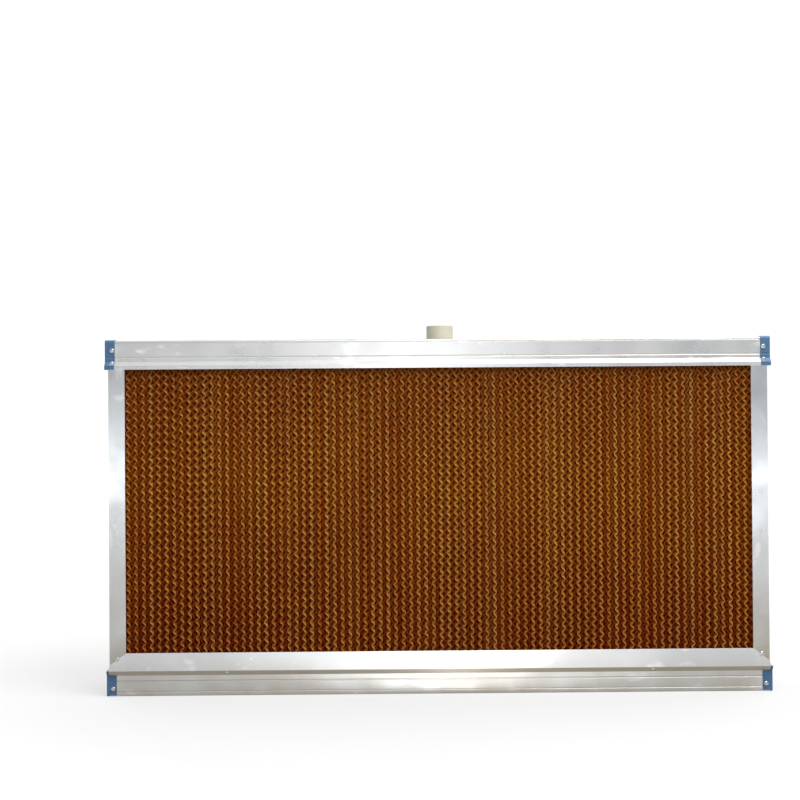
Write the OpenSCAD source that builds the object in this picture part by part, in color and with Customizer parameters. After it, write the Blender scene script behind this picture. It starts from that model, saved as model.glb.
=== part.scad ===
// Framed evaporative cooling pad: two blocks of cross-fluted cellulose sheets in an
// extruded aluminium frame. Water enters at the top socket, runs out of the spray pipe
// onto the blocks, and is caught by the trough that the frame stands on.
// Millimetres. X runs along the frame, the air crosses it along Y, Z is up, and the
// origin is on the floor under the middle of the frame.

/* [Pad] */
// Width of one cellulose block
block_w = 600; // [300:1:600]
// Number of blocks side by side
block_count = 2; // [1:1:3]
// Thickness of the blocks in the air's direction
block_t = 150; // [100:10:200]
// Sheets glued together in one block, half of them rising and half falling
sheet_count = 86; // [20:2:100]
// Height of a sheet's waves from trough to crest
wave_h = 7; // [4:0.5:12]
// Length of one wave along a sheet's edge
wave_l = 15; // [10:0.5:30]
// Width of the open mouths between the pairs of sheets
mouth_w = 5; // [1:0.1:6]

/* [Frame] */
// Height of the frame from the floor to the top of the header
frame_h = 650; // [400:1:2000]
// Width of the frame's border at the sides, seen from the front
border_w = 30; // [20:1:45]
// Wall thickness of the header and the trough
rail_t = 1.6; // [1.2:0.1:2.5]
// Wall thickness of the side channels
channel_t = 1.5; // [1:0.1:2.5]
// Gap between the blocks and the frame, on each face
pad_gap = 2; // [1:0.5:4]

/* [Header] */
// Height of the header's face
header_h = 53; // [48:1:80]
// Height of the lip that hangs over the blocks' top edge
header_lip_h = 7; // [4:1:15]
// How far the header's box stands back from its lip
header_step = 7; // [4:1:10]
// Radius of the header's top edges
header_edge_r = 3; // [1:0.5:5]

/* [Trough] */
// Height of the trough's wall, up to its shoulder
trough_wall_h = 37.5; // [25:0.5:80]
// Height of the sloped shoulder that carries the blocks
shoulder_h = 9; // [5:0.5:15]
// How far the trough's wall stands back from its lip
trough_step = 8; // [7:0.5:12]
// Height of the lip that stands in front of the blocks
trough_lip_h = 33; // [20:1:60]
// Radius of the trough's bottom edges
trough_edge_r = 2; // [1:0.5:4]
// Diameter of the drain hole in the trough's floor
drain_d = 40; // [20:1:63]

/* [End caps] */
// Thickness of a cap's end plate
cap_plate_t = 4; // [3:0.5:8]
// Length of the flange that wraps the rail's end
cap_wrap = 14; // [8:1:30]
// Thickness of the wrapping flange
cap_skin = 1.5; // [1:0.1:3]

/* [Water supply] */
// Outer diameter of the spray pipe
pipe_d = 32; // [20:1:34]
// Wall thickness of the spray pipe
pipe_t = 2; // [1.5:0.1:3]
// Diameter of the spray holes along the top of the pipe
spray_hole_d = 3; // [2:0.5:5]
// Distance between spray holes
spray_pitch = 75; // [40:5:150]
// Outer diameter of the supply socket
socket_d = 50; // [40:1:60]
// Inner diameter of the supply socket
socket_bore = 40; // [32:1:50]
// Height of the socket above the header
socket_h = 27; // [20:1:60]
// Distance of the socket from the middle of the frame
socket_x = 6; // [-200:1:200]

/* [Hidden] */

$fn = 48;
slip = 0.2;                 // play between pieces that slide into each other

// Depth of the sections, as half widths from the middle plane
channel_y = block_t / 2 + pad_gap + channel_t;
trough_lip_y = channel_y;
trough_y = trough_lip_y - trough_step;
header_lip_y = channel_y + 2 * slip + rail_t;
header_y = header_lip_y - header_step;

// Lengths along the frame, as half lengths from the middle
pad_x = block_count * block_w / 2;
channel_x = pad_x + 2 * pad_gap - channel_t / 2;
rail_x = channel_x + 2.5;
border_x = channel_x - border_w;

// Heights
header_z = frame_h - header_h;
header_lip_z = header_z + header_lip_h;
shoulder_z = trough_wall_h + shoulder_h;
trough_top_z = shoulder_z + trough_lip_h;
pad_z = shoulder_z + slip;
pad_h = header_lip_z - shoulder_z - 2 * slip;
sleeve_d = pipe_d + 8;
sleeve_l = socket_d + 30;
port_d = pipe_d - 2 * pipe_t - 4;
pipe_z = frame_h - rail_t - 2 * slip - sleeve_d / 2;
mitre_z = shoulder_z + 11;

// Small grooves along the rails' faces, each as its lower edge and its height
groove_depth = 0.7;
header_groove = [header_lip_z + header_step + 6.5, 3];
header_bead = [frame_h - 5.4, 1.8];
trough_groove = [trough_wall_h - 12, 3];
trough_bead = [7, 1.8];

// Points of a quarter round from angle a0 to a1 about centre c
function round_corner(c, r, a0, a1, steps = 6) =
    [for (i = [0:steps]) c + r * [cos(a0 + (a1 - a0) * i / steps), sin(a0 + (a1 - a0) * i / steps)]];

// A shallow groove in a vertical face, listed from its lower edge up
function groove(y, span) = [[y, span[0]], [y - groove_depth, span[0] + groove_depth],
                            [y - groove_depth, span[0] + span[1] - groove_depth], [y, span[0] + span[1]]];

// The same points from last to first
function reversed(points) = [for (i = [len(points) - 1:-1:0]) points[i]];

// A half outline completed by its mirror image in the middle plane
function both_sides(half) = concat(half, [for (p = reversed(half)) [-p.x, p.y]]);

// Outside of the header from its top down to the lip, grown by g
function header_outside(g = 0, grooves = [header_bead, header_groove]) = concat(
    round_corner([header_y - header_edge_r, frame_h - header_edge_r], header_edge_r + g, 90, 0),
    [for (span = grooves) each reversed(groove(header_y + g, span))],
    [[header_y + g, header_lip_z + header_step], [header_lip_y + g, header_lip_z], [header_lip_y + g, header_z]]);

// Inside of the header from the lip up to the underside of its top
function header_inside() =
    [[header_lip_y - rail_t, header_z], [header_lip_y - rail_t, header_lip_z],
     [header_y - rail_t, header_lip_z], [header_y - rail_t, frame_h - rail_t]];

// Outside of the trough from its floor up to the foot of the shoulder
function trough_outside() = concat(
    round_corner([trough_y - trough_edge_r, trough_edge_r], trough_edge_r, -90, 0),
    groove(trough_y, trough_bead),
    groove(trough_y, trough_groove),
    [[trough_y, trough_wall_h]]);

// Inside of the trough from the shelf down to its floor
function trough_inside() = [[trough_y - rail_t, shoulder_z], [trough_y - rail_t, rail_t]];

// Turns a section drawn in (Y, Z) into a bar along X
module along_x(from, to) {
    translate([from, 0, 0])
        rotate([90, 0, 90])
            linear_extrude(to - from)
                children();
}

// Turns an outline drawn in (X, Z) into a plate between two depths
module across_y(from, to) {
    translate([0, to, 0])
        rotate([90, 0, 0])
            linear_extrude(to - from)
                children();
}

// Inverted trough that covers the blocks' top edge and hides the spray pipe
module header() {
    color("silver")
        difference() {
            along_x(-rail_x, rail_x)
                polygon(both_sides(concat(header_outside(), header_inside())));
            translate([socket_x, 0, frame_h - 2 * rail_t])
                cylinder(d = socket_d + 2 * slip, h = 4 * rail_t);
        }
}

// Trough with a shelf for the blocks; the lip's ends are mitred to the side channels
module trough() {
    color("silver")
        difference() {
            along_x(-rail_x, rail_x)
                polygon(both_sides(concat(
                    trough_outside(),
                    [[trough_lip_y, shoulder_z], [trough_lip_y, trough_top_z],
                     [trough_lip_y - rail_t, trough_top_z], [trough_lip_y - rail_t, shoulder_z]],
                    trough_inside())));
            for (side = [-1, 1])
                across_y(-channel_y - 1, channel_y + 1)
                    polygon([[side * border_x, trough_top_z], [side * channel_x, mitre_z],
                             [side * rail_x, shoulder_z], [side * (rail_x + 1), shoulder_z],
                             [side * (rail_x + 1), trough_top_z + 1], [side * border_x, trough_top_z + 1]]);
            translate([0, 0, -rail_t])
                cylinder(d = drain_d, h = 4 * rail_t);
        }
}

// Channel that closes one side: a web and two lips, cut at a mitre to meet the trough's lip
module side_channel(side) {
    web_x = side > 0 ? channel_x - channel_t : -channel_x;
    color("silver")
        union() {
            translate([web_x, -channel_y + 2 * channel_t, pad_z])
                cube([channel_t, 2 * (channel_y - 2 * channel_t), header_lip_z - slip - pad_z]);
            translate([web_x, -channel_y, trough_top_z])
                cube([channel_t, 2 * channel_y, header_lip_z - slip - trough_top_z]);
            for (y = [-channel_y, channel_y - channel_t])
                across_y(y, y + channel_t)
                    polygon([[side * border_x, trough_top_z + slip], [side * border_x, header_lip_z - slip],
                             [side * channel_x, header_lip_z - slip], [side * channel_x, mitre_z + slip]]);
        }
}

// Block of glued sheets: one waved layer for each pair of a rising and a falling sheet,
// with an open mouth between neighbouring layers and flat sides where the block was cut
module pad_block(index) {
    left = -pad_x + index * block_w + slip;
    right = left + block_w - 2 * slip;
    layers = sheet_count / 2;
    pitch = (right - left) / layers;
    bends = 2 * floor(pad_h / wave_l);
    wave = [for (k = [0:bends]) [(k % 2 - 0.5) * wave_h, pad_z + k * pad_h / bends]];
    function cut_side(x) = [[x, pad_z], [x, pad_z + pad_h]];
    function waved_side(x) = [for (p = wave) p + [x, 0]];
    color("saddlebrown")
        across_y(-block_t / 2, block_t / 2)
            for (j = [0:layers - 1])
                polygon(concat(
                    j == layers - 1 ? cut_side(right) : waved_side(left + (j + 1) * pitch - mouth_w / 2),
                    reversed(j == 0 ? cut_side(left) : waved_side(left + j * pitch + mouth_w / 2))));
}

// Pipe that sprays upwards against the header's roof
module spray_pipe() {
    holes = floor((pad_x - spray_pitch) / spray_pitch);
    color("ivory")
        difference() {
            along_x(-pad_x + 10, pad_x - 10)
                translate([0, pipe_z]) circle(d = pipe_d);
            along_x(-pad_x, pad_x)
                translate([0, pipe_z]) circle(d = pipe_d - 2 * pipe_t);
            for (i = [-holes:holes])
                if (abs(i * spray_pitch - socket_x) > sleeve_l / 2)
                    translate([i * spray_pitch, 0, pipe_z])
                        cylinder(d = spray_hole_d, h = pipe_d);
            translate([socket_x, 0, pipe_z])
                cylinder(d = port_d, h = pipe_d);
        }
}

// Saddle tee on the spray pipe, with the supply socket that stands out of the header
module inlet_tee() {
    color("ivory")
        difference() {
            union() {
                along_x(socket_x - sleeve_l / 2, socket_x + sleeve_l / 2)
                    translate([0, pipe_z]) circle(d = sleeve_d);
                translate([socket_x, 0, pipe_z])
                    cylinder(d = socket_d, h = frame_h + socket_h - pipe_z);
            }
            along_x(socket_x - sleeve_l, socket_x + sleeve_l)
                translate([0, pipe_z]) circle(d = pipe_d + slip);
            translate([socket_x, 0, frame_h])
                cylinder(d = socket_bore, h = socket_h + 1);
            translate([socket_x, 0, pipe_z])
                cylinder(d = port_d, h = frame_h - pipe_z + 1);
        }
}

// Moulded cap on one end of the header, with a plug for the spray pipe's end
module header_cap(side) {
    color("steelblue")
        mirror([side < 0 ? 1 : 0, 0, 0])
            union() {
                difference() {
                    along_x(rail_x - cap_wrap, rail_x + cap_plate_t)
                        polygon(both_sides(header_outside(cap_skin, [header_groove])));
                    along_x(rail_x - cap_wrap - 1, rail_x)
                        polygon(both_sides(header_outside(slip / 4, [])));
                }
                along_x(pad_x - 30, rail_x + 1)
                    translate([0, pipe_z]) circle(d = pipe_d - 2 * pipe_t - slip);
            }
}

// Moulded cap on one end of the trough: an end plate with a flange on each wall, both
// level with the trough's floor
module trough_cap(side) {
    plate = [[trough_y + cap_skin - trough_edge_r, 0], [trough_y + cap_skin, trough_edge_r],
             [trough_y + cap_skin, trough_wall_h], [trough_lip_y, shoulder_z]];
    flange = [[trough_y + slip / 4, trough_edge_r], [trough_y + cap_skin, trough_edge_r],
              [trough_y + cap_skin, trough_wall_h], [trough_y + slip / 4, trough_wall_h]];
    color("steelblue")
        mirror([side < 0 ? 1 : 0, 0, 0])
            union() {
                along_x(rail_x, rail_x + cap_plate_t)
                    polygon(both_sides(plate));
                for (face = [0, 1])
                    mirror([0, face, 0])
                        along_x(rail_x - cap_wrap, rail_x + 1)
                            polygon(flange);
            }
}

header();
trough();
side_channel(-1);  // side_channel_left
side_channel(1);  // side_channel_right
pad_block(0);  // pad_block_1
pad_block(1);  // pad_block_2
spray_pipe();
inlet_tee();
header_cap(-1);  // header_cap_left
header_cap(1);  // header_cap_right
trough_cap(-1);  // trough_cap_left
trough_cap(1);  // trough_cap_right
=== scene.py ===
import math
import random

import bpy
from mathutils import Matrix, Vector


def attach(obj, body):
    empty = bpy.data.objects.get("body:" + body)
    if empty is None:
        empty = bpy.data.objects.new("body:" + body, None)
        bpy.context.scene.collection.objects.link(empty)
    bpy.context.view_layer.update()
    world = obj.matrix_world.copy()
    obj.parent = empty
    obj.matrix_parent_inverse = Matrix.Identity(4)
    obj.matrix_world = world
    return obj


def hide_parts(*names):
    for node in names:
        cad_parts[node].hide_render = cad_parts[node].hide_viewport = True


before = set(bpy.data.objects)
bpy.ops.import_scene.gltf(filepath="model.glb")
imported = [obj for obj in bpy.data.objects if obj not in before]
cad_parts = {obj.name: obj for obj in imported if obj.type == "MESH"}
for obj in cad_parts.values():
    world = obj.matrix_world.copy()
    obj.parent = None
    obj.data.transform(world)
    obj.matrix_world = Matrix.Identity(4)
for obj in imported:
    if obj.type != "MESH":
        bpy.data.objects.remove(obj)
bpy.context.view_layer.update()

draw = random.Random(7)

MM = 0.001
BODY = "root"

# The frame's main measures, as in the part's source
PAD_HALF_DEPTH = 75 * MM
PAD_BOTTOM = 46.7 * MM
PAD_TOP = 603.8 * MM
BLOCK_W = 600 * MM
SHEETS_IN_BLOCK = 86
WAVE_LENGTH = 15 * MM
WAVE_REACH = 3.45 * MM
PAPER_T = 0.26 * MM
HEADER_TOP = 650 * MM
# Length of a flute before the block is sawn to size
FLUTE_LENGTH = 540 * MM
# How soaked paper wanders: along which axis, in waves of what size, and how far
PAPER_WARPS = (
    ("X", 17 * MM, 2.2 * MM),
    ("Z", 23 * MM, 5.0 * MM),
    ("Z", 120 * MM, 6.0 * MM),
)
# Where the end caps' flanges begin, from the middle of the frame
CAP_EDGE = 592 * MM
# Places of the fasteners on one half of one face: from the middle along X, out along Y, and up
CAP_SCREW_SPOTS = (
    (596.8 * MM, 75.5 * MM, 632 * MM),
    (596.8 * MM, 79.0 * MM, 608 * MM),
    (598.0 * MM, 72.5 * MM, 14 * MM),
)
RIVET_SPOTS = ((589 * MM, 78.8 * MM, 69 * MM),)
SHOULDER_SPOTS = ((390 * MM, 74.7 * MM, 41.6 * MM),)
# The ways that a wall and the trough's shoulder face: outwards and upwards
WALL_FACING = (1, 0)
SHOULDER_FACING = (0.747, -0.664)
# Grooves and the shoulder along the rails, from one height to another, and how dark each is made, partly
# by grime and partly as painted shade
DIRT_AND_SHADE_LINES = (
    (617.5 * MM, 620.5 * MM, 0.45),
    (644.6 * MM, 646.4 * MM, 0.45),
    (37.5 * MM, 46.5 * MM, 0.8),
    (25.5 * MM, 28.5 * MM, 0.5),
    (7.0 * MM, 8.8 * MM, 0.5),
)


def deselect_all():
    bpy.ops.object.select_all(action="DESELECT")


def take(piece):
    """Selects one piece alone and makes it the active one."""
    deselect_all()
    piece.select_set(True)
    bpy.context.view_layer.objects.active = piece


def named(name):
    """The piece that an operator has just added, under its own name."""
    piece = bpy.context.object
    piece.name = name
    piece.data.name = name
    return piece


def finish_modifier(piece, kind, **settings):
    """Adds a modifier with these settings and applies it."""
    take(piece)
    modifier = piece.modifiers.new(kind.lower(), kind)
    for key, value in settings.items():
        setattr(modifier, key, value)
    bpy.ops.object.modifier_apply(modifier=modifier.name)


def select_points(piece, test):
    """Selects, in edit mode, the points whose place passes the test."""
    bpy.ops.mesh.select_mode(type="VERT")
    bpy.ops.mesh.select_all(action="DESELECT")
    bpy.ops.object.mode_set(mode="OBJECT")
    for point in piece.data.vertices:
        point.select = test(point.co)
    bpy.ops.object.mode_set(mode="EDIT")


def select_faces(piece, test):
    """Selects, in edit mode, the faces whose middle and normal pass the test."""
    bpy.ops.mesh.select_mode(type="FACE")
    bpy.ops.mesh.select_all(action="DESELECT")
    bpy.ops.object.mode_set(mode="OBJECT")
    for face in piece.data.polygons:
        face.select = test(face.center, face.normal)
    bpy.ops.object.mode_set(mode="EDIT")


def copy_of(piece, name):
    """A second piece with its own mesh."""
    twin = bpy.data.objects.new(name, piece.data.copy())
    bpy.context.scene.collection.objects.link(twin)
    return twin


def join(pieces, name):
    """Joins pieces into the first one, with its place in its mesh."""
    deselect_all()
    for piece in pieces:
        piece.select_set(True)
    bpy.context.view_layer.objects.active = pieces[0]
    bpy.ops.object.join()
    whole = named(name)
    bpy.ops.object.transform_apply(location=True, rotation=True, scale=True)
    return whole


def smooth(piece, degrees):
    take(piece)
    bpy.ops.object.shade_smooth_by_angle(angle=math.radians(degrees))


def hand_in(piece, slot, material, *nodes):
    """Gives a finished piece its material and body, and hides the nodes it stands for; its slot is not
    used.
    """
    piece.data.materials.clear()
    piece.data.materials.append(material)
    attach(piece, BODY)
    if nodes:
        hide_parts(*nodes)


# Shader helpers

def new_material(name):
    """A material, its node tree and its Principled surface."""
    material = bpy.data.materials.new(name)
    material.use_nodes = True
    tree = material.node_tree
    return material, tree, tree.nodes["Principled BSDF"]


def effect(name, inputs, outputs):
    """A node group for an effect that several finishes share, with its named sockets."""
    tree = bpy.data.node_groups.new(name, "ShaderNodeTree")
    for socket, kind in inputs.items():
        tree.interface.new_socket(socket, in_out="INPUT", socket_type=f"NodeSocket{kind}")
    for socket in outputs:
        tree.interface.new_socket(socket, in_out="OUTPUT", socket_type="NodeSocketFloat")
    given = tree.nodes.new("NodeGroupInput").outputs
    result = tree.nodes.new("NodeGroupOutput").inputs
    return tree, given, result


def plug(tree, value, socket):
    """Links another socket to this one, or sets its value."""
    if hasattr(value, "links"):
        tree.links.new(value, socket)
    else:
        socket.default_value = value


def add(tree, kind, settings=None, **inputs):
    """Adds a node with its settings and inputs; i0, i1 and so on are inputs by number."""
    node = tree.nodes.new(kind)
    for key, value in (settings or {}).items():
        setattr(node, key, value)
    for key, value in inputs.items():
        number = key[1:]
        plug(tree, value, node.inputs[int(number) if key[0] == "i" and number.isdigit() else key])
    return node


def use(tree, group, **inputs):
    """Places a shared effect in a material with its own values."""
    return add(tree, "ShaderNodeGroup", {"node_tree": group}, **inputs).outputs


def place_of(tree):
    return add(tree, "ShaderNodeTexCoord").outputs["Object"]


def ramp(tree, value, low, high, to_low=0.0, to_high=1.0):
    """A value spread from one range to another and held at its ends."""
    return add(tree, "ShaderNodeMapRange", i0=value, i1=low, i2=high, i3=to_low, i4=to_high).outputs[0]


def maths(tree, operation, first, second=0.0):
    return add(tree, "ShaderNodeMath", {"operation": operation}, i0=first, i1=second).outputs[0]


def times(tree, first, second):
    return maths(tree, "MULTIPLY", first, second)


def stretched(tree, place, scale, turn=(0, 0, 0)):
    """The place, drawn out along its axes for a pattern that runs one way."""
    return add(tree, "ShaderNodeMapping", Vector=place, Rotation=turn, Scale=scale).outputs[0]


def noise(tree, place, scale, detail=3.0):
    return add(tree, "ShaderNodeTexNoise", Vector=place, Scale=scale, Detail=detail).outputs[0]


def mixed(tree, share, first, second):
    """Two colours mixed by a share."""
    node = tree.nodes.new("ShaderNodeMix")
    node.data_type = "RGBA"
    plug(tree, share, node.inputs[0])
    plug(tree, first, node.inputs[6])
    plug(tree, second, node.inputs[7])
    return node.outputs[2]


def finish_with(tree, surface, colour, rough, height=None, strength=0.1, depth=0.2 * MM):
    """Plugs a finish into its surface, with a bump where it has a relief."""
    plug(tree, colour, surface.inputs["Base Color"])
    plug(tree, rough, surface.inputs["Roughness"])
    if height is not None:
        bump = add(tree, "ShaderNodeBump", Height=height, Strength=strength, Distance=depth)
        plug(tree, bump.outputs[0], surface.inputs["Normal"])


# Effects that more than one finish uses

def mottle_effect():
    """Soft patches: how far a place lies inside one."""
    tree, given, result = effect(
        "mottle", {"Place": "Vector", "Scale": "Float", "From": "Float", "To": "Float"}, ["Share"])
    patches = noise(tree, given["Place"], given["Scale"], 4.0)
    plug(tree, ramp(tree, patches, given["From"], given["To"]), result["Share"])
    return tree


def edge_wear_effect():
    """Rubbed edges: where the solid is thin behind the surface, broken up by patches."""
    tree, given, result = effect("edge_wear", {"Place": "Vector", "Width": "Float"}, ["Wear"])
    behind = add(
        tree, "ShaderNodeAmbientOcclusion", {"inside": True, "only_local": True, "samples": 6},
        Distance=given["Width"])
    edge = ramp(tree, behind.outputs["AO"], 0.92, 0.62)
    rubbed = ramp(tree, noise(tree, given["Place"], 90.0), 0.34, 0.62, 0.15, 1.0)
    plug(tree, times(tree, edge, rubbed), result["Wear"])
    return tree


def dust_and_shade_effect():
    """Dusty film that thins out upwards and lies on faces that look up: partly real, partly a painted warm
    reflection of the floor towards the foot and painted shade that dims the highlights of faces that look
    up.
    """
    tree, given, result = effect(
        "dust_and_painted_shade", {"Place": "Vector", "Reach": "Float", "Amount": "Float"}, ["Dust"])
    height = add(tree, "ShaderNodeSeparateXYZ", i0=given["Place"]).outputs[2]
    low = ramp(tree, height, 0.0, given["Reach"], 1.0, 0.0)
    normal = add(tree, "ShaderNodeNewGeometry").outputs["Normal"]
    upwards = add(tree, "ShaderNodeSeparateXYZ", i0=normal).outputs[2]
    lying = ramp(tree, upwards, 0.35, 0.95, 0.0, 0.55)
    patches = ramp(tree, noise(tree, given["Place"], 16.0, 5.0), 0.3, 0.7, 0.45, 1.0)
    dust_and_shade = times(tree, maths(tree, "MAXIMUM", low, lying), patches)
    plug(tree, times(tree, dust_and_shade, given["Amount"]), result["Dust"])
    return tree


def drawn_lines_effect():
    """Fine lines that an extrusion's die leaves along the profile."""
    tree, given, result = effect("drawn_lines", {"Place": "Vector", "Run": "Vector"}, ["Height"])
    along = stretched(tree, given["Place"], given["Run"])
    plug(tree, noise(tree, along, 260.0, 2.0), result["Height"])
    return tree


def handling_effect():
    """Pale marks of handling: wiped smears, slanting scratches and small dents."""
    tree, given, result = effect(
        "handling_marks", {"Place": "Vector", "Run": "Vector"}, ["Smears", "Nicks"])
    along = stretched(tree, given["Place"], given["Run"])
    plug(tree, ramp(tree, noise(tree, along, 34.0, 3.5), 0.63, 0.72), result["Smears"])
    slanted = stretched(tree, given["Place"], (0.06, 1, 1), (0, 0.22, 0))
    scratch = ramp(tree, noise(tree, slanted, 420.0, 1.0), 0.74, 0.80)
    cells = add(tree, "ShaderNodeTexVoronoi", Vector=given["Place"], Scale=38.0)
    dent = ramp(tree, cells.outputs["Distance"], 0.06, 0.11, 1.0, 0.0)
    chance = add(tree, "ShaderNodeSeparateColor", i0=cells.outputs["Color"]).outputs[0]
    some = ramp(tree, chance, 0.86, 0.87)
    plug(tree, maths(tree, "MAXIMUM", scratch, times(tree, dent, some)), result["Nicks"])
    return tree


def grain_effect():
    """Fine grain of a moulded skin."""
    tree, given, result = effect("moulded_grain", {"Place": "Vector", "Scale": "Float"}, ["Height"])
    plug(tree, noise(tree, given["Place"], given["Scale"], 2.0), result["Height"])
    return tree


MOTTLE = mottle_effect()
EDGE_WEAR = edge_wear_effect()
DUST_AND_SHADE_GROUP = dust_and_shade_effect()
DRAWN_LINES = drawn_lines_effect()
HANDLING = handling_effect()
GRAIN = grain_effect()


# Materials

def darkening_low_and_header_shadow(tree, across, height):
    """How far the paper is darkened: towards the bottom, reaching higher up on the left, and along the top
    by a painted shadow of the header.
    """
    level = maths(tree, "ADD", height, ramp(tree, across, -0.58, -0.22, -0.2, 0.0))
    from_below = ramp(tree, level, -0.15, 0.55, 0.5, 0.0)
    # Painted shadow: the header's lip shades the top of the pad.
    painted_header_shadow = ramp(tree, height, 0.7, 1.0, 0.0, 0.28)
    return maths(tree, "ADD", from_below, painted_header_shadow)


def paper_material():
    """Kraft paper stiffened with resins, coloured with painted light: walls that face up are painted paler
    and walls that face down darker, the cut edges of the lit walls carry a painted highlight, the flutes
    are painted darker inwards as shade, the paper is darker towards the bottom and the left, and a painted
    shadow of the header lies along the top.
    """
    material, tree, surface = new_material("cellulose_paper")
    place = place_of(tree)
    parts = add(tree, "ShaderNodeSeparateXYZ", i0=place)
    # Painted light: each sheet carries how lit its walls are, high for walls that face up and low for
    # walls that face down at the front; behind the middle the two are swapped, so that walls facing up are
    # paler from either side.
    sheet = add(tree, "ShaderNodeAttribute", {"attribute_name": "sheet_painted_light"}).outputs["Fac"]
    behind = maths(tree, "GREATER_THAN", parts.outputs[1], 0.0)
    facing = maths(tree, "ABSOLUTE", maths(tree, "SUBTRACT", sheet, behind))
    height = ramp(tree, parts.outputs[2], PAD_BOTTOM, PAD_TOP)
    # Painted light: walls that face down are painted paler the higher they stand.
    painted_lift_higher_up = ramp(tree, facing, 0.35, 0.5, 0.40, 0.0)
    painted_light_share = maths(tree, "ADD", facing, times(tree, painted_lift_higher_up, height))
    wide = stretched(tree, place, (1.0, 0.4, 0.6))
    stains = use(tree, MOTTLE, Place=wide, Scale=7.0, From=0.42, To=0.72)["Share"]
    steep = stretched(tree, place, (1.0, 0.5, 0.35))
    blotches = use(tree, MOTTLE, Place=steep, Scale=60.0, From=0.45, To=0.7)["Share"]
    fibres = use(tree, MOTTLE, Place=place, Scale=420.0, From=0.4, To=0.7)["Share"]
    # Painted shaded and lit copies of one paper colour, mixed by the painted light.
    lit_and_shaded_paper = mixed(tree, painted_light_share, (0.35, 0.042, 0.0003, 1), (0.49, 0.215, 0.005, 1))
    blotched = mixed(tree, times(tree, blotches, 0.45), lit_and_shaded_paper, (0.34, 0.058, 0.001, 1))
    stained = mixed(tree, times(tree, stains, 0.5), blotched, (0.30, 0.056, 0.001, 1))
    darkened_paper = mixed(tree, darkening_low_and_header_shadow(tree, parts.outputs[0], height), stained, (0.17, 0.006, 0.0002, 1))
    # Pale fibres, shown only as strongly as the painted light of their wall.
    fibre_share = times(tree, times(tree, fibres, 0.24), painted_light_share)
    fibred = mixed(tree, fibre_share, darkened_paper, (0.60, 0.30, 0.06, 1))
    depth = maths(tree, "ABSOLUTE", parts.outputs[1])
    # Painted shade: the paper is painted darker and redder the deeper it lies inside the flutes, and more
    # so towards the bottom.
    painted_flute_shade_strength = ramp(tree, height, 0.0, 0.6, 0.96, 0.7)
    inside = ramp(tree, depth, PAD_HALF_DEPTH - 13 * MM, PAD_HALF_DEPTH - 2 * MM, 1.0, 0.0)
    painted_flute_shade = mixed(tree, times(tree, inside, painted_flute_shade_strength), fibred, (0.25, 0.006, 0.0001, 1))
    # Painted highlight: the outermost paper at the cut faces is painted pale, most on the walls painted as
    # lit.
    edge = ramp(tree, depth, PAD_HALF_DEPTH - 0.9 * MM, PAD_HALF_DEPTH, 0.0, 0.66)
    colour = mixed(tree, times(tree, edge, times(tree, painted_light_share, painted_light_share)), painted_flute_shade, (0.72, 0.46, 0.27, 1))
    finish_with(tree, surface, colour, ramp(tree, fibres, 0.0, 1.0, 0.72, 0.9))
    surface.inputs["Specular IOR Level"].default_value = 0.06
    return material


def line_dirt_and_shade(tree, place):
    """Grime and painted shade along the header and the trough: the grooves and the down-facing shoulder
    are painted darker, partly as grime and partly as their shade.
    """
    height = add(tree, "ShaderNodeSeparateXYZ", i0=place).outputs[2]
    dirt_and_shade = 0.0
    for low, high, amount in DIRT_AND_SHADE_LINES:
        distance = maths(tree, "ABSOLUTE", maths(tree, "SUBTRACT", height, (low + high) / 2))
        line = ramp(tree, distance, (high - low) * 0.4, (high - low) * 0.6, amount, 0.0)
        dirt_and_shade = maths(tree, "ADD", line, dirt_and_shade)
    return dirt_and_shade


def dust_and_painted_shade(tree, place):
    """A dusty film in patches on the header's flat top, made dark as painted shade against the strong
    light that falls there.
    """
    height = add(tree, "ShaderNodeSeparateXYZ", i0=place).outputs[2]
    on_top = ramp(tree, height, HEADER_TOP - 0.5 * MM, HEADER_TOP - 0.1 * MM)
    patches = use(tree, MOTTLE, Place=place, Scale=9.0, From=0.25, To=0.7)["Share"]
    return times(tree, on_top, ramp(tree, patches, 0.0, 1.0, 0.7, 0.92))


def sealant_smear(tree, place):
    """Sealant wiped off beside the end caps."""
    along = maths(tree, "ABSOLUTE", add(tree, "ShaderNodeSeparateXYZ", i0=place).outputs[0])
    near = ramp(tree, along, CAP_EDGE - 24 * MM, CAP_EDGE)
    ragged = use(tree, MOTTLE, Place=place, Scale=70.0, From=0.32, To=0.66)["Share"]
    return times(tree, near, ragged)


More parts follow.
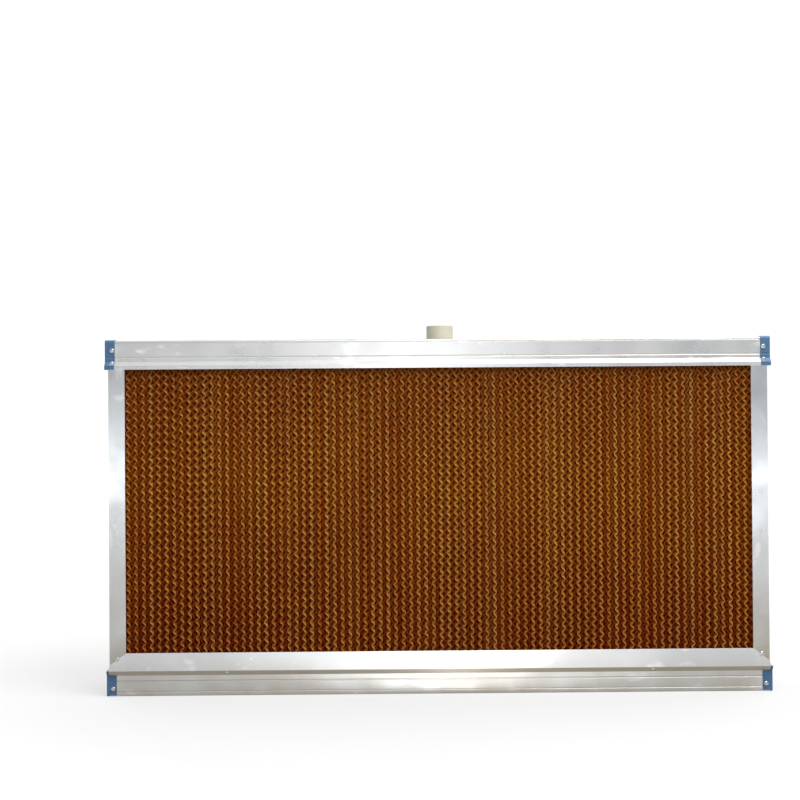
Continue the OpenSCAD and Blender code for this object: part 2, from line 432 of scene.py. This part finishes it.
def aluminium_material(name, run, clean, filmed, finish, reach, amount, is_rail):
    """Mill-finish extrusion: drawn lines along its run, marks of handling, and a dusty film towards the
    floor that is partly a painted warm reflection of the floor.

    Its finish is the roughness where it is clean, and a rail also holds sealant, grime with painted shade
    in its grooves and on its shoulder, and a dark dusty film on its top that is partly painted shade.
    """
    material, tree, surface = new_material(name)
    place = place_of(tree)
    lines = use(tree, DRAWN_LINES, Place=place, Run=[0.02 if along else 1 for along in run])["Height"]
    marks = use(tree, HANDLING, Place=place, Run=[0.5 if along else 1 for along in run])
    film = use(tree, MOTTLE, Place=place, Scale=3.0, From=0.35, To=0.7)["Share"]
    smudge = use(tree, MOTTLE, Place=place, Scale=14.0, From=0.35, To=0.75)["Share"]
    wear = use(tree, EDGE_WEAR, Place=place, Width=0.9 * MM)["Wear"]
    dust_and_shade = use(tree, DUST_AND_SHADE_GROUP, Place=place, Reach=reach, Amount=amount)["Dust"]
    colour = mixed(tree, film, clean, filmed)
    colour = mixed(tree, times(tree, smudge, 0.3), colour, (0.58, 0.58, 0.575, 1))
    pale = maths(tree, "MAXIMUM", marks["Smears"], times(tree, marks["Nicks"], 0.8))
    pale = maths(tree, "MAXIMUM", pale, times(tree, wear, 0.5))
    if is_rail:
        pale = maths(tree, "MAXIMUM", pale, times(tree, sealant_smear(tree, place), 0.6))
    colour = mixed(tree, pale, colour, (0.90, 0.91, 0.91, 1))
    # A dusty film, partly a painted warm reflection of the floor low down and painted shade on faces that
    # look up.
    colour = mixed(tree, dust_and_shade, colour, (0.40, 0.355, 0.27, 1))
    if is_rail:
        # Grime and painted shade in the grooves and on the down-facing shoulder.
        held_dirt_and_shade = line_dirt_and_shade(tree, place)
        colour = mixed(tree, held_dirt_and_shade, colour, (0.56, 0.49, 0.37, 1))
        # Painted shade: a dark dusty film on the header's top, partly to hold down the strong light there.
        top_dust_and_shade = dust_and_painted_shade(tree, place)
        colour = mixed(tree, top_dust_and_shade, colour, (0.25, 0.237, 0.212, 1))
        dust_and_shade = maths(tree, "MAXIMUM", dust_and_shade, maths(tree, "MAXIMUM", held_dirt_and_shade, top_dust_and_shade))
    plug(tree, ramp(tree, dust_and_shade, 0.0, 1.0, 1.0, 0.45), surface.inputs["Metallic"])
    rough = ramp(tree, smudge, 0.0, 1.0, finish, finish + 0.13)
    rough = maths(tree, "ADD", rough, times(tree, dust_and_shade, 0.25))
    rough = maths(tree, "ADD", rough, times(tree, pale, 0.06))
    finish_with(tree, surface, colour, rough, lines, 0.08, 0.3 * MM)
    return material


def cap_material():
    """Blue moulded plastic with a fine grain, scuffs, rubbed edges and a little dusty film, partly painted
    shade.
    """
    material, tree, surface = new_material("blue_plastic")
    place = place_of(tree)
    scuffs = use(tree, MOTTLE, Place=place, Scale=60.0, From=0.45, To=0.8)["Share"]
    wear = use(tree, EDGE_WEAR, Place=place, Width=1.0 * MM)["Wear"]
    dust_and_shade = use(tree, DUST_AND_SHADE_GROUP, Place=place, Reach=0.03, Amount=0.12)["Dust"]
    grain = use(tree, GRAIN, Place=place, Scale=900.0)["Height"]
    colour = mixed(tree, times(tree, scuffs, 0.4), (0.054, 0.140, 0.280, 1), (0.115, 0.20, 0.32, 1))
    colour = mixed(tree, times(tree, wear, 0.45), colour, (0.22, 0.31, 0.43, 1))
    colour = mixed(tree, dust_and_shade, colour, (0.36, 0.34, 0.29, 1))
    rough = maths(tree, "ADD", ramp(tree, scuffs, 0.0, 1.0, 0.42, 0.6), times(tree, dust_and_shade, 0.2))
    finish_with(tree, surface, colour, rough, grain, 0.1, 0.2 * MM)
    return material


def pvc_material():
    """Cream pipe plastic, slightly yellowed in patches, with a dulled rim."""
    material, tree, surface = new_material("cream_pvc")
    place = place_of(tree)
    patches = use(tree, MOTTLE, Place=place, Scale=25.0, From=0.35, To=0.7)["Share"]
    upright = stretched(tree, place, (1, 1, 0.3))
    scuffs = use(tree, MOTTLE, Place=upright, Scale=120.0, From=0.6, To=0.75)["Share"]
    wear = use(tree, EDGE_WEAR, Place=place, Width=1.2 * MM)["Wear"]
    dust_and_shade = use(tree, DUST_AND_SHADE_GROUP, Place=place, Reach=0.02, Amount=0.15)["Dust"]
    grain = use(tree, GRAIN, Place=place, Scale=300.0)["Height"]
    colour = mixed(tree, patches, (0.66, 0.64, 0.51, 1), (0.60, 0.57, 0.44, 1))
    colour = mixed(tree, times(tree, scuffs, 0.3), colour, (0.48, 0.45, 0.35, 1))
    colour = mixed(tree, times(tree, wear, 0.35), colour, (0.70, 0.68, 0.58, 1))
    colour = mixed(tree, dust_and_shade, colour, (0.40, 0.37, 0.30, 1))
    finish_with(tree, surface, colour, ramp(tree, patches, 0.0, 1.0, 0.38, 0.5), grain, 0.06, 0.2 * MM)
    return material


def screw_material():
    """Zinc-plated steel, bright with a faint mottle and a little dusty film, partly painted shade."""
    material, tree, surface = new_material("zinc_plate")
    place = place_of(tree)
    mottle = use(tree, MOTTLE, Place=place, Scale=500.0, From=0.35, To=0.7)["Share"]
    dust_and_shade = use(tree, DUST_AND_SHADE_GROUP, Place=place, Reach=0.02, Amount=0.3)["Dust"]
    colour = mixed(tree, mottle, (0.66, 0.66, 0.65, 1), (0.50, 0.51, 0.52, 1))
    colour = mixed(tree, dust_and_shade, colour, (0.36, 0.34, 0.29, 1))
    surface.inputs["Metallic"].default_value = 1.0
    finish_with(tree, surface, colour, ramp(tree, mottle, 0.0, 1.0, 0.16, 0.3))
    return material


def floor_material():
    """Plain pale floor, white to the eye, which keeps the object's soft shadow round its foot."""
    material, tree, surface = new_material("pale_floor")
    surface.inputs["Base Color"].default_value = (0.25, 0.25, 0.25, 1)
    surface.inputs["Roughness"].default_value = 0.9
    surface.inputs["Specular IOR Level"].default_value = 0.1
    path = add(tree, "ShaderNodeLightPath").outputs
    away = add(tree, "ShaderNodeVectorMath", {"operation": "LENGTH"}, i0=place_of(tree))
    distance = away.outputs["Value"]
    seen = maths(tree, "MAXIMUM", path["Is Camera Ray"], path["Is Transmission Ray"])
    to_eye = times(tree, seen, ramp(tree, distance, 0.7, 2.6, 0.56, 0.90))
    to_metal = times(tree, path["Is Glossy Ray"], ramp(tree, distance, 0.5, 2.6, 0.26, 0.62))
    white = add(tree, "ShaderNodeEmission", Strength=maths(tree, "MAXIMUM", to_eye, to_metal))
    both = add(tree, "ShaderNodeAddShader", i0=surface.outputs[0], i1=white.outputs[0])
    plug(tree, both.outputs[0], tree.nodes["Material Output"].inputs["Surface"])
    return material


# Cellulose sheets

def flute():
    """One wave of a sheet, standing along Y and bent to its crest and hollow."""
    steps = 8
    across = WAVE_LENGTH / math.sqrt(2)
    deselect_all()
    bpy.ops.mesh.primitive_grid_add(x_subdivisions=steps, y_subdivisions=1, size=1)
    strip = named("flute")
    bpy.ops.object.mode_set(mode="EDIT")
    bpy.ops.transform.resize(value=(across, FLUTE_LENGTH, 1))
    for step in range(steps + 1):
        x = (step / steps - 0.5) * across
        turn = 2 * math.pi * step / steps
        lift = WAVE_REACH * (math.sin(turn) - 0.09 * math.sin(3 * turn)) / 1.09
        select_points(strip, lambda co: abs(co.x - x) < 0.1 * across / steps)
        bpy.ops.transform.translate(value=(0, 0, lift))
    bpy.ops.object.mode_set(mode="OBJECT")
    return strip


def blank_sheet(rising):
    """A fluted sheet before trimming, its flutes going up or down towards the back."""
    waves = 51
    across = WAVE_LENGTH / math.sqrt(2)
    sheet = flute()
    finish_modifier(
        sheet, "ARRAY", count=waves, use_relative_offset=False, use_constant_offset=True,
        constant_offset_displace=(across, 0, 0), use_merge_vertices=True, merge_threshold=0.05 * MM)
    middle = (waves - 1) / 2 * across
    sheet.data.transform(Matrix.Translation((-middle, 0, 0)))
    up = 1 if rising else -1
    half = math.sqrt(0.5)
    turn = Matrix(((0, 0, 1, 0), (-up * half, half, 0, 0), (half, up * half, 0, 0), (0, 0, 0, 1)))
    sheet.data.transform(turn)
    return sheet


def let_warp(piece):
    """Lets the flutes wander a little along the sheets, as pressed and soaked paper does."""
    for axis, size, strength in PAPER_WARPS:
        warp = bpy.data.textures.new("paper_warp", "CLOUDS")
        warp.noise_scale = size
        warp.noise_depth = 1
        finish_modifier(
            piece, "DISPLACE", texture=warp, texture_coords="LOCAL", direction=axis, strength=strength,
            mid_level=0.5)


def trim(piece):
    """Saws the joined sheets flat on all four edges of the block."""
    take(piece)
    bpy.ops.object.mode_set(mode="EDIT")
    cuts = (
        ((0, -PAD_HALF_DEPTH, 0), (0, -1, 0)),
        ((0, PAD_HALF_DEPTH, 0), (0, 1, 0)),
        ((0, 0, PAD_BOTTOM), (0, 0, -1)),
        ((0, 0, PAD_TOP), (0, 0, 1)),
    )
    for point, outward in cuts:
        bpy.ops.mesh.select_all(action="SELECT")
        bpy.ops.mesh.bisect(plane_co=point, plane_no=outward, clear_outer=True)
    bpy.ops.object.mode_set(mode="OBJECT")


def sheet_pack(name, block, rising):
    """All rising or all falling sheets of one block."""
    blank = blank_sheet(rising)
    pitch = BLOCK_W / SHEETS_IN_BLOCK
    middle = (PAD_BOTTOM + PAD_TOP) / 2
    drift = 0.0
    sheets = []
    for number in range(0 if rising else 1, SHEETS_IN_BLOCK, 2):
        sheet = copy_of(blank, "sheet")
        drift += draw.uniform(-1.5, 1.5) * MM
        if draw.random() < 0.25:
            drift += draw.uniform(0.2, 0.8) * WAVE_LENGTH
        shift = drift + draw.uniform(-1.0, 1.0) * MM
        x = (block - 1) * BLOCK_W + (number + 0.5) * pitch + draw.uniform(-0.1, 0.1) * MM
        sheet.data.transform(Matrix.Translation((x, 0, middle + shift % WAVE_LENGTH)))
        # Painted light of this sheet: rising sheets painted as lit, falling sheets as shaded, with a
        # little random spread.
        painted_light_share = sheet.data.attributes.new("sheet_painted_light", "FLOAT", "POINT")
        value = min(1.0, max(0.0, draw.gauss(0.80 if rising else 0.10, 0.11)))
        painted_light_share.data.foreach_set("value", [value] * len(sheet.data.vertices))
        sheets.append(sheet)
    bpy.data.objects.remove(blank)
    stack = join(sheets, name)
    let_warp(stack)
    trim(stack)
    finish_modifier(stack, "SOLIDIFY", thickness=PAPER_T, offset=0.0)
    smooth(stack, 50)
    return stack


def pads():
    """Two blocks, each of rising and falling sheets by turns."""
    paper = paper_material()
    for block in (0, 1):
        for rising in (True, False):
            way = "rising" if rising else "falling"
            stack = sheet_pack(f"sheets_{way}_{block + 1}", block, rising)
            hand_in(stack, "cellulose", paper, f"pad_block_{block + 1}")


# Frame and caps, from the solids with their edges broken

def dressed(node, name, edge, segments):
    """A copy of a node's solid with its sharp edges rounded."""
    piece = copy_of(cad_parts[node], name)
    piece.hide_render = False
    take(piece)
    bpy.ops.object.mode_set(mode="EDIT")
    bpy.ops.mesh.select_all(action="SELECT")
    bpy.ops.mesh.remove_doubles(threshold=0.01 * MM)
    bpy.ops.mesh.dissolve_limited(angle_limit=math.radians(1))
    bpy.ops.object.mode_set(mode="OBJECT")
    finish_modifier(
        piece, "BEVEL", width=edge, segments=segments, limit_method="ANGLE", angle_limit=math.radians(40),
        use_clamp_overlap=True)
    take(piece)
    bpy.ops.object.shade_smooth()
    finish_modifier(piece, "WEIGHTED_NORMAL", mode="FACE_AREA", weight=50, keep_sharp=False)
    return piece


def rails():
    """Header, trough and side channels, all of extruded aluminium."""
    rail = aluminium_material(
        "rail_aluminium", run=(1, 0, 0), clean=(0.735, 0.75, 0.765, 1), filmed=(0.67, 0.68, 0.69, 1),
        finish=0.25, reach=0.085, amount=0.7, is_rail=True)
    # The channels' bluish colour is partly a painted reflection of bluish surroundings.
    channel = aluminium_material(
        "channel_aluminium", run=(0, 0, 1), clean=(0.725, 0.765, 0.80, 1), filmed=(0.67, 0.705, 0.735, 1),
        finish=0.16, reach=0.36, amount=1.15, is_rail=False)
    for node, name, aluminium in (
        ("header", "header_rail", rail),
        ("trough", "trough_rail", rail),
        ("side_channel_left", "channel_left", channel),
        ("side_channel_right", "channel_right", channel),
    ):
        hand_in(dressed(node, name, 0.15 * MM, 2), "aluminium", aluminium, node)


def end_caps():
    """Moulded caps on the ends of the header and the trough."""
    plastic = cap_material()
    for place in ("header", "trough"):
        for side in ("left", "right"):
            node = f"{place}_cap_{side}"
            hand_in(dressed(node, f"{place}_end_{side}", 0.7 * MM, 3), "cap_plastic", plastic, node)


def water_supply():
    """Saddle tee with its socket, and the spray pipe as it is in the solids."""
    pvc = pvc_material()
    hand_in(dressed("inlet_tee", "supply_tee", 0.8 * MM, 3), "pvc", pvc, "inlet_tee")
    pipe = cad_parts["spray_pipe"]
    pipe.data.materials.clear()
    pipe.data.materials.append(pvc)


# Fasteners

def cap_screw():
    """Pan-head screw with a cross slot, its head towards +Z."""
    deselect_all()
    bpy.ops.mesh.primitive_cylinder_add(vertices=28, radius=4.1 * MM, depth=1.6 * MM)
    screw = named("cap_screw")
    bpy.ops.object.mode_set(mode="EDIT")
    select_faces(screw, lambda middle, normal: normal.z > 0.9)
    bpy.ops.mesh.inset(thickness=0.8 * MM)
    bpy.ops.transform.translate(value=(0, 0, 0.6 * MM))
    bpy.ops.mesh.inset(thickness=1.3 * MM)
    bpy.ops.transform.translate(value=(0, 0, 0.25 * MM))
    bpy.ops.object.mode_set(mode="OBJECT")
    finish_modifier(
        screw, "BEVEL", width=0.3 * MM, segments=2, limit_method="ANGLE", angle_limit=math.radians(25))
    for turn in (0, 90):
        bpy.ops.mesh.primitive_cube_add(size=1)
        slot = named("cross_slot")
        slot.data.transform(Matrix.Diagonal((5.0 * MM, 1.1 * MM, 2.4 * MM, 1)))
        slot.data.transform(Matrix.Rotation(math.radians(turn + 20), 4, "Z"))
        slot.data.transform(Matrix.Translation((0, 0, 1.6 * MM)))
        finish_modifier(screw, "BOOLEAN", object=slot, operation="DIFFERENCE", solver="EXACT")
        bpy.data.objects.remove(slot)
    smooth(screw, 35)
    return screw


def rivet():
    """Domed rivet with its pulled stem's hole in the middle."""
    deselect_all()
    bpy.ops.mesh.primitive_cylinder_add(vertices=28, radius=4.2 * MM, depth=1.2 * MM)
    head = named("rivet")
    bpy.ops.object.mode_set(mode="EDIT")
    select_faces(head, lambda middle, normal: normal.z > 0.9)
    for inwards, lift in ((0.7, 0.5), (0.9, 0.3), (0.7, -0.05), (0.1, -1.5)):
        bpy.ops.mesh.inset(thickness=inwards * MM)
        bpy.ops.transform.translate(value=(0, 0, lift * MM))
    bpy.ops.object.mode_set(mode="OBJECT")
    smooth(head, 45)
    return head


def set_out(model, spots, facing, name, material):
    """Copies of a fastener at its spots on both halves of both faces, turned the way the surface faces."""
    outward, upward = facing
    copies = []
    for face in (-1, 1):
        head = Vector((0, face * outward, upward))
        turn = Vector((0, 0, 1)).rotation_difference(head).to_matrix().to_4x4()
        for side in (-1, 1):
            for x, y, z in spots:
                copy = copy_of(model, name)
                copy.data.transform(Matrix.Translation((side * x, face * y, z)) @ turn)
                copies.append(copy)
    bpy.data.objects.remove(model)
    hand_in(join(copies, name), "aluminium", material)


def fasteners():
    """Screws that hold the caps, rivets at the corners, and screws under the trough's shoulder."""
    zinc = screw_material()
    set_out(cap_screw(), CAP_SCREW_SPOTS, WALL_FACING, "cap_screws", zinc)
    set_out(rivet(), RIVET_SPOTS, WALL_FACING, "corner_rivets", zinc)
    set_out(cap_screw(), SHOULDER_SPOTS, SHOULDER_FACING, "shoulder_screws", zinc)


# Stage

def floor():
    """A floor that sweeps up into a backdrop behind the object."""
    deselect_all()
    bpy.ops.mesh.primitive_plane_add(size=1)
    ground = named("floor")
    bpy.ops.object.mode_set(mode="EDIT")
    bpy.ops.mesh.select_all(action="SELECT")
    bpy.ops.transform.resize(value=(24, 14, 1))
    bpy.ops.transform.translate(value=(0, -3, -0.3 * MM))
    select_points(ground, lambda co: co.y > 0)
    for run, rise in ((1.2, 0.25), (0.9, 0.7), (0.5, 1.2), (0.2, 1.3)):
        bpy.ops.mesh.extrude_region_move(TRANSFORM_OT_translate={"value": (0, run, rise)})
    bpy.ops.object.mode_set(mode="OBJECT")
    smooth(ground, 60)
    ground.data.materials.append(floor_material())


def lamp(name, place, aim, size, watts):
    """A soft box that looks at a point."""
    data = bpy.data.lights.new(name, "AREA")
    data.shape = "RECTANGLE"
    data.size = size[0]
    data.size_y = size[1]
    data.energy = watts
    box = bpy.data.objects.new(name, data)
    box.location = place
    box.rotation_euler = (Vector(aim) - Vector(place)).to_track_quat("-Z", "Y").to_euler()
    bpy.context.scene.collection.objects.link(box)
    return box


def room():
    """Soft light from all round, stronger from above the back, and white where the floor ends."""
    world = bpy.data.worlds.new("room")
    world.use_nodes = True
    tree = world.node_tree
    path = add(tree, "ShaderNodeLightPath").outputs
    ray = add(tree, "ShaderNodeTexCoord").outputs["Generated"]
    back = add(tree, "ShaderNodeVectorMath", {"operation": "DOT_PRODUCT"}, i0=ray, i1=(0, 0.66, 0.75))
    level = ramp(tree, back.outputs["Value"], 0.4, 0.95, 0.36, 2.3)
    metal = ramp(tree, path["Is Glossy Ray"], 0.0, 1.0, level, 0.48)
    seen = maths(tree, "MAXIMUM", path["Is Camera Ray"], path["Is Transmission Ray"])
    background = tree.nodes["Background"]
    background.inputs["Color"].default_value = (1, 1, 1, 1)
    plug(tree, maths(tree, "MAXIMUM", seen, metal), background.inputs["Strength"])
    bpy.context.scene.world = world


def lights():
    """Boxes overhead, in front and at the sides, and cards on the floor that the metal reflects."""
    lamp("key_box", (1.2, -1.4, 3.1), (0, 0, 0.33), (2.4, 2.4), 116)
    lamp("overhead_box", (0, -0.7, 2.7), (0, -0.5, 0), (3.4, 2.2), 12)
    lamp("front_box", (-0.03, -3.1, 1.15), (0, 0, 0.45), (0.36, 2.0), 7.0)
    for across, height in ((-1.12, 0.31), (1.31, 0.2)):
        lamp("side_box", (across, -3.0, height), (0, 0, 0.4), (0.5, 0.14), 0.65)
    for width, height, watts in ((1.3, 2 * MM, 0.42), (0.85, 4 * MM, 0.85), (0.4, 6 * MM, 0.85)):
        card = lamp("floor_card", (0.03, -0.36, height), (0.03, -0.36, 1), (width, 0.56), watts)
        card.data.shape = "ELLIPSE"
        card.visible_camera = False
        card.visible_diffuse = False


def camera():
    """Camera at the photograph's place: about mid height, almost square to the front."""
    place = (-0.0911, -2.8, 0.5147)
    yaw = 0.0077
    pitch = 0.0086
    roll = -0.0072
    focal_px = 1487.9
    picture_px = 800
    data = bpy.data.cameras.new("camera")
    data.sensor_width = 36
    data.lens = focal_px / picture_px * data.sensor_width
    eye = bpy.data.objects.new("camera", data)
    forward = Vector((math.sin(yaw) * math.cos(pitch), math.cos(yaw) * math.cos(pitch), math.sin(pitch)))
    right = forward.cross(Vector((0, 0, 1))).normalized()
    up = right.cross(forward)
    across = math.cos(roll) * right + math.sin(roll) * up
    upward = math.cos(roll) * up - math.sin(roll) * right
    turn = Matrix((across, upward, -forward)).transposed().to_4x4()
    eye.matrix_world = Matrix.Translation(place) @ turn
    bpy.context.scene.collection.objects.link(eye)
    bpy.context.scene.camera = eye


pads()
rails()
end_caps()
water_supply()
fasteners()
floor()
room()
lights()
camera()
bpy.context.scene.view_settings.view_transform = "Standard"
